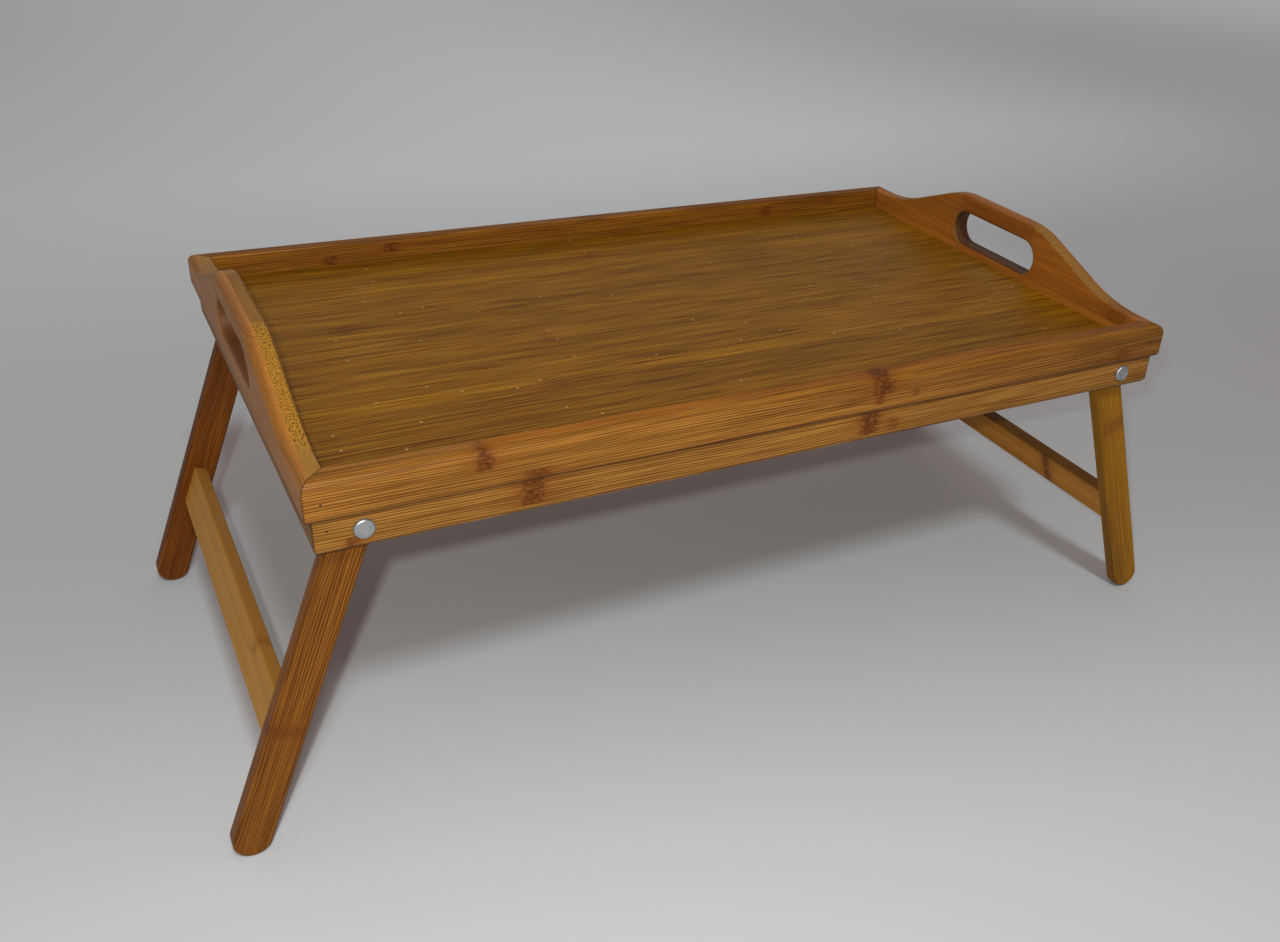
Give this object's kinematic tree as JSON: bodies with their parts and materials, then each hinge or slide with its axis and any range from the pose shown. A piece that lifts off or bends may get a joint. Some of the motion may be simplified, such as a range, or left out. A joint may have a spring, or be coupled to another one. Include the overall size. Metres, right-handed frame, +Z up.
{
  "type": "bed tray table",
  "caption": "Bamboo bed tray table: raised rim with slotted handle boards at the ends, thin panel, aprons, and two leg frames that fold flat under the tray.",
  "frame": {"origin": "on the floor under the middle of the tray, legs open", "axes": "+X along the tray's length towards its right end, +Y towards its back, +Z up"},
  "size_m": [0.5978, 0.3, 0.2345],
  "materials": {
    "rail_bamboo": "satin oiled caramel bamboo, fine straight grain",
    "handle_board_bamboo": "satin oiled caramel bamboo, laminated strips",
    "panel_bamboo": "satin oiled bamboo veneer, fine dense grain",
    "apron_bamboo": "satin oiled caramel bamboo, fine straight grain",
    "leg_bamboo": "satin oiled caramel bamboo, fine straight grain",
    "crossbar_bamboo": "satin oiled caramel bamboo, fine straight grain",
    "dowel_wood": "plain turned dowel",
    "rivet_aluminium": "bright satin",
    "washer_steel": "zinc plated",
    "brad_steel": "plain"
  },
  "bodies": {
    "tray": {"front_rim_rail": "rail_bamboo", "back_rim_rail": "rail_bamboo", "right_handle_board": "handle_board_bamboo", "left_handle_board": "handle_board_bamboo", "tray_panel": "panel_bamboo", "front_apron": "apron_bamboo", "back_apron": "apron_bamboo", "right_apron": "apron_bamboo", "left_apron": "apron_bamboo", "front_right_pivot_rivet": "rivet_aluminium", "front_left_pivot_rivet": "rivet_aluminium", "back_right_pivot_rivet": "rivet_aluminium", "back_left_pivot_rivet": "rivet_aluminium", "front_right_spacer_washer": "washer_steel", "front_left_spacer_washer": "washer_steel", "back_right_spacer_washer": "washer_steel", "back_left_spacer_washer": "washer_steel", "front_right_rivet_washer": "washer_steel", "front_left_rivet_washer": "washer_steel", "back_right_rivet_washer": "washer_steel", "back_left_rivet_washer": "washer_steel", "rim_corner_brads": "brad_steel", "apron_corner_brads": "brad_steel"},
    "left_leg_frame": {"front_left_leg": "leg_bamboo", "back_left_leg": "leg_bamboo", "left_crossbar": "crossbar_bamboo", "left_crossbar_dowels": "dowel_wood"},
    "right_leg_frame": {"front_right_leg": "leg_bamboo", "back_right_leg": "leg_bamboo", "right_crossbar": "crossbar_bamboo", "right_crossbar_dowels": "dowel_wood"}
  },
  "joints": [
    {"name": "left_legs_fold", "type": "hinge", "parent": "tray", "child": "left_leg_frame", "pos_m": [-0.22505, 0, 0.17939], "axis": [0, -1, 0], "range_deg": [0, 110.8]},
    {"name": "right_legs_fold", "type": "hinge", "parent": "tray", "child": "right_leg_frame", "pos_m": [0.22505, 0, 0.17939], "axis": [0, 1, 0], "range_deg": [0, 110.8]}
  ]
}
